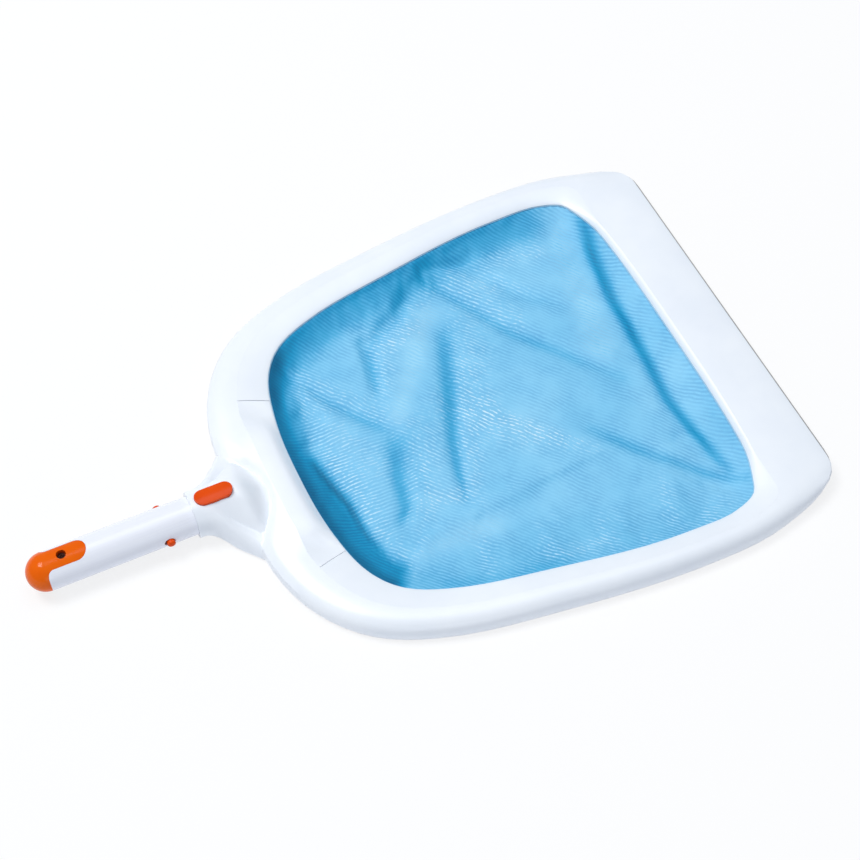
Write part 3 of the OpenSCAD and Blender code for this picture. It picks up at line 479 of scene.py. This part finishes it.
def folds_at(place):
    """What the folds do at a place: the height that they add in millimetres, how far they gather the
    threads and darken them with painted shade, and how much painted glint lies beside a fold, on the side
    away from the handle, which faces the light."""
    rise, gather, flank_glint = 0.0, 0.0, 0.0
    broadest = 7                                          # of the height; the gathers run on wider
    for line, start, end, height, depth in FOLD_LINES:
        away, offset, share = nearest(line, place)
        breadth = start + (end - start) * share
        ends = math.sin(math.pi * (0.15 + 0.72 * share))
        rise += height * math.exp(-(away / min(breadth, broadest)) ** 2) * ends
        gather = max(gather, depth * math.exp(-(away / (0.75 * breadth)) ** 2) * min(1.0, 1.4 * ends))
        # painted glint on the flank beside a fold that faces the light
        if offset.x > 0 and depth > 0.2:
            reach = away / breadth
            beside = smooth(0.5, 1.1, reach) * smooth(4.2, 1.6, reach)
            beside *= smooth(0.1, 0.7, offset.x / away)
            flank_glint = max(flank_glint, math.sqrt(depth) * beside * min(1.0, 1.2 * ends))
    return rise, gather, flank_glint


def wall_width(near):
    """Width of the slope down to the pan: steep at the deck and the rear, slack at the sides."""
    back, out = (MOUTH_X - near.x) / NET_L, near.y / NET_W
    wider = PAN_WALLS["right"] - PAN_WALLS["left"]
    side = PAN_WALLS["left"] + wider * smooth(0.1, -0.1, out)
    front, rear = 1 - smooth(0.02, 0.16, back), smooth(0.84, 0.95, back)
    return side * (1 - front) * (1 - rear) + PAN_WALLS["front"] * front + PAN_WALLS["rear"] * rear


def mesh_pan():
    """The mesh, cut to the opening with its edge under the bezels, and its flat area."""
    bm = bmesh.new()
    step, hold = CLOTH_STEP, MESH_HELD
    nx, ny = int((NET_L + 2 * hold) / step) + 1, int((NET_W + 2 * hold) / step) + 1
    middle = Matrix.Translation((MOUTH_X - NET_L / 2, 0, 0))
    bmesh.ops.create_grid(bm, x_segments=nx, y_segments=ny, size=0.5,
                          matrix=middle @ Matrix.Diagonal((nx * step, ny * step, 1, 1)))
    beyond = [v for v in bm.verts if outside_by(v.co.x, v.co.y)[0] > hold + step * 0.45]
    bmesh.ops.delete(bm, geom=beyond, context="VERTS")
    bmesh.ops.delete(bm, geom=[v for v in bm.verts if len(v.link_faces) == 0], context="VERTS")
    # the outermost row is drawn in to the cut's edge
    for v in bm.verts:
        out, near = outside_by(v.co.x, v.co.y)
        if v.is_boundary:
            v.co.xy = near + (v.co.xy - near).normalized() * hold * (1 if out > 0 else -1)
    uv = bm.loops.layers.uv.new("cut")
    for f in bm.faces:
        f.smooth = True
        for loop in f.loops:
            loop[uv].uv = loop.vert.co.xy
    area = sum(f.calc_area() for f in bm.faces) * MM * MM
    bm.verts.index_update()
    held = []
    for v in bm.verts:
        out, near = outside_by(v.co.x, v.co.y)
        inside = max(0.0, -out)
        if inside == 0:
            held.append(v.index)
        ripple = noise.noise(Vector((v.co.x * 0.03, v.co.y * 0.03, 3.1))) * 0.7    # 33 mm long
        v.co.z = SHEET_Z - PAN_DEPTH * (1 - (1 - min(inside / wall_width(near), 1)) ** 2)
        v.co.z += smooth(0, 12, inside) * folds_at(v.co.xy)[0] + smooth(0, 16, inside) * ripple
        v.co.z += 0.4 * math.exp(-(out / 1.8) ** 2)       # up against the bezels' lower edge
        v.co *= MM
    obj = piece_from(bm, "mesh_pan")
    obj.vertex_groups.new(name="held").add(held, 1.0, "REPLACE")
    return obj, area


def hang(obj):
    """Lets the mesh sag in its frame, and keeps the shape that it comes to."""
    cloth = obj.modifiers.new("sag", "CLOTH")
    s = cloth.settings
    s.vertex_group_mass = "held"
    s.pin_stiffness = 30
    s.quality = 8
    s.mass = 0.0001
    s.tension_stiffness = s.compression_stiffness = 40
    s.shear_stiffness, s.bending_stiffness = 15, 0.15
    s.tension_damping = s.compression_damping = s.shear_damping = 15
    s.air_damping = 4
    s.shrink_min = s.shrink_max = -0.004                  # cut a little larger than its frame
    cloth.collision_settings.use_collision = False
    cloth.collision_settings.use_self_collision = False
    cloth.point_cache.frame_start, cloth.point_cache.frame_end = 1, CLOTH_FRAMES
    scene = bpy.context.scene
    for i in range(1, CLOTH_FRAMES + 1):
        scene.frame_set(i)
    flat = bpy.data.meshes.new_from_object(obj.evaluated_get(bpy.context.evaluated_depsgraph_get()))
    obj.modifiers.clear()
    obj.data = flat
    obj.data.name = obj.name
    scene.frame_set(1)


def mark_threads(obj):
    """Writes two shares at each point of the mesh. The first is where its threads close up in a fold and
    where shade is painted: in creases, on slopes turned from the light, and in the frame's painted shadow
    along the rear wall and near the sides. The second is painted glints, on ribs beside a fold and on
    slopes turned to the light."""
    mesh = obj.data
    bm = bmesh.new()
    bm.from_mesh(mesh)
    bm.normal_update()
    bm.verts.ensure_lookup_table()
    # painted light and shade: this points across the floor towards the light; slopes turned away get
    # painted shade, slopes turned to it painted glints
    toward_light = Vector((-0.93, 0.37))                     # the shaded side of a fold
    passes = {"gathered_and_shaded": 1, "raised": 4}                 # of smoothing from point to point
    gathered_and_shaded, raised = [], []
    for v in bm.verts:
        place = v.co.xy / MM
        out, near = outside_by(place.x, place.y)
        back = (MOUTH_X - near.x) / NET_L
        turned = v.normal.xy.dot(toward_light)
        left = near.y > 0
        _, fold, flank_glint = folds_at(place)
        painted_paleness, shine = patches_at(place)
        rear = smooth(0.8, 0.93, back) if left else smooth(0.868, 0.925, back)
        side = smooth(0.04, 0.2, back)
        deep = 15 + 12 * smooth(70, -60, near.y)          # the rear wall is broadest to the right
        # painted shadow of the rear bezel over the rear wall, with the crease at its foot where the threads
        # close up, and painted shade near the frame's sides
        wall = rear * (1 - 0.2 * smooth(3, 12, -out)) * (1 - smooth(deep * 0.6, deep * 1.25, -out))
        edge = side * (0.5 * smooth(44, 4, -out) if left else 0.2 * smooth(60, 0, -out))
        # painted shade on slopes turned from the light, and on the far wall's slope
        slopes = 0.45 * smooth(0.06, 0.45, -turned) + 0.2 * side * smooth(0.02, 0.3, -v.normal.y)
        closed_and_shaded = max(fold, wall, edge + slopes * (1 - edge))
        # painted light patches lift it, painted shadow patches deepen it
        gathered_and_shaded.append(closed_and_shaded - painted_paleness * (1 - closed_and_shaded) ** 2)
        # painted glints: beside folds, in patches, and on slopes turned to the light
        glint_here = max(0.75 * flank_glint, shine, 0.5 * smooth(0.03, 0.18, turned))
        raised.append(glint_here * (1 - smooth(0.15, 0.6, gathered_and_shaded[-1])) * side)
    for name, values in (("gathered_and_shaded", gathered_and_shaded), ("raised", raised)):
        for _ in range(passes[name]):
            values = [0.5 * values[v.index]
                      + 0.5 * sum(values[e.other_vert(v).index] for e in v.link_edges)
                      / len(v.link_edges) for v in bm.verts]
        mesh.attributes.new(name, "FLOAT", "POINT").data.foreach_set("value", values)
    bm.free()


def binding(points=360):
    """Tape sewn round the edge of the mesh. A fine line of it shows inside the bezels."""
    bm = bmesh.new()
    rings = []
    ahead_by = 0.01
    last = HALF_TURN - ahead_by
    # the tape's section: out from the opening's edge, and height
    for out, z in ((4.1, 12.5), (0.2, 12.76), (-0.5, 12.84), (-0.7, 12.5), (-0.4, 12.2), (4.1, 11.9)):
        verts = bmesh.ops.create_circle(bm, segments=points, radius=1)["verts"]
        mine = set(verts)
        for i, v in enumerate(verts):
            t = 2 * HALF_TURN * i / points
            half = min(t, 2 * HALF_TURN - t)
            at = opening_at(half)
            ahead = opening_at(min(half, last) + ahead_by) - opening_at(min(half, last))
            outward = Vector((ahead.y, -ahead.x)).normalized()
            side = 1 if t <= HALF_TURN else -1
            v.co = Vector((at.x + outward.x * out, side * (at.y + outward.y * out), z)) * MM
        rings.append([e for e in bm.edges if all(v in mine for v in e.verts)])
    for one, two in zip(rings, rings[1:] + rings[:1]):
        bmesh.ops.bridge_loops(bm, edges=one + two)
    bmesh.ops.recalc_face_normals(bm, faces=bm.faces)
    for f in bm.faces:
        f.smooth = True
    cut = bm.loops.layers.uv.new("cut")
    for f in bm.faces:
        for loop in f.loops:
            loop[cut].uv = loop.vert.co.xy / MM
    return piece_from(bm, "mesh_hem")


pan, flat_area = mesh_pan()
hang(pan)
# clear of the floor, and not up through the bezels
low, high = FLOOR_CLEAR * MM, SHEET_Z * MM + 0.2 * MM
for v in pan.data.vertices:
    v.co.z = max(low, min(high, v.co.z))
for poly in pan.data.polygons:
    poly.use_smooth = True
mark_threads(pan)
thick = pan.modifiers.new("thread", "SOLIDIFY")
thick.thickness, thick.offset = THREAD * MM, 0
finish_piece(pan, MESH, "mesh", "frame", "net")
hem = finish_piece(binding(), TAPE, "hem", "frame", "net_hem")


# ---------- Pieces carried over from the solids ----------
shell = smooth_copy("frame_shell", "frame_moulding", FRAME_WHITE, "white_moulding", "frame", angle=40)
for node in ("side_bezel", "rear_bezel"):
    ring = smooth_copy(node, node + "_ring", WHITE, "white_moulding", "frame", angle=40)
    close_seam(ring, shell)
hollow_ends(ring)
smooth_copy("handle_shank", "handle_tube", TUBE, "white_tube", "frame")
smooth_copy("neck_cover", "neck_cover_plate", WHITE, "white_moulding", "frame")
smooth_copy("end_cap", "end_cap_moulding", CAP_ORANGE, "orange_plastic", "frame", rounding=0.25)
smooth_copy("release_button", "button_cap", ORANGE, "orange_plastic", "button", rounding=0.6)
smooth_copy("latch_arm_left", "arm_left", ORANGE, "orange_plastic", "arm_left")
smooth_copy("latch_arm_right", "arm_right", ORANGE, "orange_plastic", "arm_right")
for node in ("bezel_screws", "cover_screws", "shank_screw", "arm_pivots"):
    smooth_copy(node, node + "_steel", STAINLESS, "steel", "frame")
smooth_copy("end_cap_screw", "cap_screw_steel", BLACKED, "dark_steel", "frame")
smooth_copy("latch_carrier", "carrier", ACETAL, "grey_plastic", "frame")
smooth_copy("cap_plug", "tube_plug", ACETAL, "grey_plastic", "frame")
spring = smooth_copy("button_spring", "coil_spring", STAINLESS, "steel", "frame")
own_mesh(spring)


# ---------- Floor, light and camera ----------
def pale_floor():
    """Plain pale floor that reads white round the object and keeps its soft shadow."""
    mat = bpy.data.materials.new("pale_floor")
    mat.use_nodes = True
    tree = mat.node_tree
    tree.nodes.clear()
    path = add(tree, "ShaderNodeLightPath").outputs
    mirrored = add(tree, "ShaderNodeMath", {"operation": "MAXIMUM"},
                   {0: path["Is Glossy Ray"], 1: path["Is Transmission Ray"]})
    seen = add(tree, "ShaderNodeMath", {"operation": "MAXIMUM"},
               {0: path["Is Camera Ray"], 1: mirrored.outputs["Value"]})
    share = add(tree, "ShaderNodeMath", {"operation": "MULTIPLY"}, {0: seen.outputs["Value"]},
                {1: 0.8})
    matt = add(tree, "ShaderNodeBsdfDiffuse", Color=linear("F4F6FA"))
    glow = add(tree, "ShaderNodeEmission", Color=linear("FFFFFF"), Strength=1.0)
    lift = add(tree, "ShaderNodeMixShader",
               links={0: share.outputs["Value"], 1: matt.outputs["BSDF"], 2: glow.outputs["Emission"]})
    add(tree, "ShaderNodeOutputMaterial", links={"Surface": lift.outputs["Shader"]})
    return mat


bm = bmesh.new()
bmesh.ops.create_grid(bm, x_segments=1, y_segments=1, size=6.0)
floor = piece_from(bm, "floor")
floor.data.materials.append(pale_floor())

world = bpy.data.worlds.new("studio")
bpy.context.scene.world = world
world.use_nodes = True
sky = first(world.node_tree, "BACKGROUND")
sky.inputs["Color"].default_value = linear("EAF1FC")
sky.inputs["Strength"].default_value = 0.34


def lamp(name, place, aim, size, power, colour):
    """A round area lamp at a place in metres, turned to its aim; size in metres, power in watts."""
    light = bpy.data.lights.new(name, "AREA")
    light.shape, light.size, light.energy, light.color = "DISK", size, power, linear(colour)[:3]
    obj = bpy.data.objects.new(name, light)
    obj.location = place
    obj.rotation_euler = (Vector(aim) - Vector(place)).to_track_quat("-Z", "Y").to_euler()
    bpy.context.scene.collection.objects.link(obj)


lamp("key", (-1.1, 0.9, 3.05), (0, 0, 0), 1.4, 72, "FFFEFA")
lamp("top", (0.35, 0.3, 2.0), (0.2, 0, 0), 1.2, 9, "F0F5FF")
lamp("fill", (-0.3, -1.7, 0.38), (0, 0, 0), 1.2, 4, "F6F9FF")

CAMERA_PLACE = (-0.2852, -0.6744, 1.1052)
CAMERA_TURN, CAMERA_TILT = math.radians(-24.966), math.radians(55.836)
camera = bpy.data.objects.new("camera", bpy.data.cameras.new("camera"))
flat_on = math.cos(CAMERA_TILT)
behind = Vector((math.sin(CAMERA_TURN) * flat_on, -math.cos(CAMERA_TURN) * flat_on, math.sin(CAMERA_TILT)))
right = Vector((math.cos(CAMERA_TURN), math.sin(CAMERA_TURN), 0))
axes = Matrix((right, behind.cross(right), behind)).transposed()
camera.matrix_world = Matrix.Translation(CAMERA_PLACE) @ axes.to_4x4()
camera.data.lens, camera.data.sensor_width = 75.56, 36.0
bpy.context.scene.collection.objects.link(camera)
bpy.context.scene.camera = camera
bpy.context.scene.view_settings.view_transform = "Standard"

bpy.context.view_layer.update()
